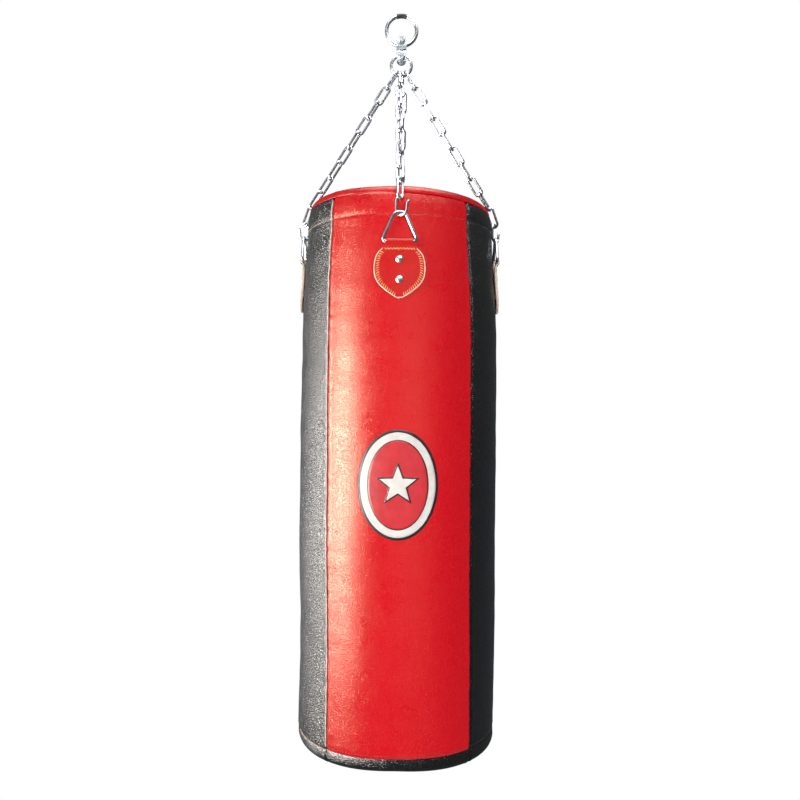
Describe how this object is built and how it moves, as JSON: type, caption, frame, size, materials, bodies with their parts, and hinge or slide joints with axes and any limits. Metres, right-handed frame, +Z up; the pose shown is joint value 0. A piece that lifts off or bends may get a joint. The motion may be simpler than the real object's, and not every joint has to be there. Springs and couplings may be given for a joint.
{
  "type": "hanging punching bag",
  "caption": "Hanging punching bag: panelled leather cylinder held by a chain sling with hooks and D-rings, under a ring and a jaw swivel for a ceiling hook.",
  "frame": {"origin": "where the ceiling hook bears, on the sleeve inside the top of the hanging ring, on the bag's axis", "axes": "+Z up along the bag's axis, -Y towards the front with the emblem patch, +X to the right seen from the front"},
  "size_m": [0.3492, 0.3492, 1.2271],
  "materials": {
    "zinc_wire": "bright zinc plate",
    "zinc_strip": "satin zinc plate",
    "zinc_fastener": "bright zinc plate",
    "steel_pin": "turned",
    "nickel_rivet": "polished nickel",
    "black_rubber": "matte",
    "red_leather": "semi-gloss, smooth grain",
    "red_strap": "semi-gloss, smooth grain",
    "black_leather": "semi-gloss, pebble grain",
    "webbing": "woven",
    "foam": "open-cell foam",
    "canvas": "woven",
    "textile": "shredded",
    "zip_tape": "woven",
    "zip_coil": "moulded coil",
    "zip_metal": "die-cast, tumbled",
    "vinyl": "printed vinyl"
  },
  "bodies": {
    "hanger": {"hanging_ring": "zinc_wire", "ring_sleeve": "black_rubber"},
    "upper_pivot": {"upper_bolt": "zinc_fastener", "upper_nut": "zinc_fastener"},
    "swivel_top": {"upper_jaw": "zinc_strip", "swivel_pin": "steel_pin"},
    "swivel_bottom": {"lower_jaw": "zinc_strip", "swivel_washer": "zinc_fastener", "lower_bolt": "zinc_fastener", "lower_nut": "zinc_fastener"},
    "gather_ring": {"chain_ring": "zinc_wire"},
    "zip_runner": {"zip_slider": "zip_metal"},
    "zip_tab": {"zip_pull": "zip_metal"},
    "bag": {"chain_front": "zinc_wire", "hook_front": "zinc_wire", "d_ring_front": "zinc_wire", "strap_front": "red_strap", "rivets_front": "nickel_rivet", "burrs_front": "zinc_fastener", "panel_front": "red_leather", "chain_right": "zinc_wire", "hook_right": "zinc_wire", "d_ring_right": "zinc_wire", "strap_right": "black_leather", "rivets_right": "nickel_rivet", "burrs_right": "zinc_fastener", "panel_right": "black_leather", "chain_back": "zinc_wire", "hook_back": "zinc_wire", "d_ring_back": "zinc_wire", "strap_back": "red_strap", "rivets_back": "nickel_rivet", "burrs_back": "zinc_fastener", "panel_back": "red_leather", "chain_left": "zinc_wire", "hook_left": "zinc_wire", "d_ring_left": "zinc_wire", "strap_left": "black_leather", "rivets_left": "nickel_rivet", "burrs_left": "zinc_fastener", "panel_left": "black_leather", "bottom_cap": "black_leather", "rim_binding": "red_leather", "lid": "red_leather", "zip_tapes": "zip_tape", "zip_coils": "zip_coil", "hem_band": "webbing", "foam_wall": "foam", "inner_sack": "canvas", "filling": "textile", "base_pad": "foam", "top_pad": "foam", "emblem_patch": "vinyl"}
  },
  "joints": [
    {"name": "front_swing", "type": "hinge", "parent": "hanger", "child": "upper_pivot", "pos_m": [0, 0, -0.0482], "axis": [1, 0, 0], "range_deg": [-60, 60]},
    {"name": "side_swing", "type": "hinge", "parent": "upper_pivot", "child": "swivel_top", "pos_m": [0, 0, -0.0419], "axis": [0, 1, 0], "range_deg": [-15, 15]},
    {"name": "swivel_spin", "type": "hinge", "parent": "swivel_top", "child": "swivel_bottom", "pos_m": [0, 0, -0.0575], "axis": [0, 0, 1], "continuous": true},
    {"name": "ring_swing", "type": "hinge", "parent": "swivel_bottom", "child": "gather_ring", "pos_m": [0, 0, -0.07082], "axis": [0, 1, 0], "range_deg": [-30, 30]},
    {"name": "sling_rock", "type": "hinge", "parent": "gather_ring", "child": "bag", "pos_m": [0, 0, -0.10002], "axis": [1, 0, 0], "range_deg": [-20, 20]},
    {"name": "zip_slide", "type": "slide", "parent": "bag", "child": "zip_runner", "axis": [1, 0, 0], "range_m": [0, 0.2]},
    {"name": "zip_tab_lift", "type": "hinge", "parent": "zip_runner", "child": "zip_tab", "pos_m": [-0.1, 0, -0.33875], "axis": [0, -1, 0], "range_deg": [0, 80]}
  ]
}
